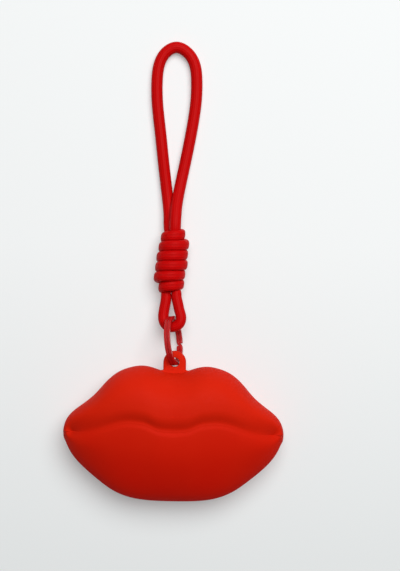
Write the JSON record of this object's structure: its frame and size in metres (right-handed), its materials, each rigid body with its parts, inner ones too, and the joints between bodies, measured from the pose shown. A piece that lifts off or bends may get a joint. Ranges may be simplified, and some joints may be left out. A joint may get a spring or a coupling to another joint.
{
  "type": "silicone coin purse",
  "caption": "Lip-shaped silicone coin purse with a zip under the lower lip, a hang tab, a split ring and a knotted cord wrist strap.",
  "frame": {"origin": "middle of the flat back that the purse lies on, midway between the corners of the mouth", "axes": "+Z out of the front of the lips, +Y from the lower lip towards the strap, +X across the mouth"},
  "size_m": [0.1064, 0.2241, 0.0337],
  "materials": {
    "silicone": "matte moulded silicone",
    "zip_fabric": "woven zip tape",
    "zip_coil": "dyed nylon coil",
    "lacquered_metal": "glossy red lacquer",
    "cord": "satin braided round cord"
  },
  "bodies": {
    "purse": {"purse_shell": "silicone", "zip_tape_back": "zip_fabric", "zip_coil_back": "zip_coil", "zip_end_stop": "lacquered_metal", "zip_top_stop_back": "lacquered_metal", "zip_top_stop_front": "lacquered_metal"},
    "lower_lip": {"lower_lip": "silicone", "zip_tape_front": "zip_fabric", "zip_coil_front": "zip_coil"},
    "slider": {"zip_slider": "lacquered_metal"},
    "pull": {"zip_pull": "lacquered_metal"},
    "ring": {"split_ring": "lacquered_metal"},
    "strap": {"strap_loop": "cord", "strap_knot": "cord", "strap_core": "cord", "strap_eye": "cord"}
  },
  "joints": [
    {"name": "lips_open", "type": "hinge", "parent": "purse", "child": "lower_lip", "pos_m": [0, 0, 0.0312], "axis": [-1, 0, 0], "range_deg": [0, 45], "deforming": ["zip_tape_front", "zip_coil_front"]},
    {"name": "slider_travel", "type": "hinge", "parent": "purse", "child": "slider", "pos_m": [0, 0.02686, 0.012], "axis": [0, 0, -1], "range_deg": [0, 93]},
    {"name": "pull_swing", "type": "hinge", "parent": "slider", "child": "pull", "pos_m": [0.04685, -0.0086, 0.012], "axis": [0, 0, 1], "range_deg": [0, 110]},
    {"name": "ring_swing", "type": "hinge", "parent": "purse", "child": "ring", "pos_m": [0, 0.03442, 0.0135], "axis": [0, 0, 1], "range_deg": [-60, 60]},
    {"name": "strap_swing", "type": "hinge", "parent": "ring", "child": "strap", "pos_m": [-0.00166, 0.05571, 0.01028], "axis": [-0.255, 0.1206, 0.9594], "range_deg": [-60, 60]}
  ]
}
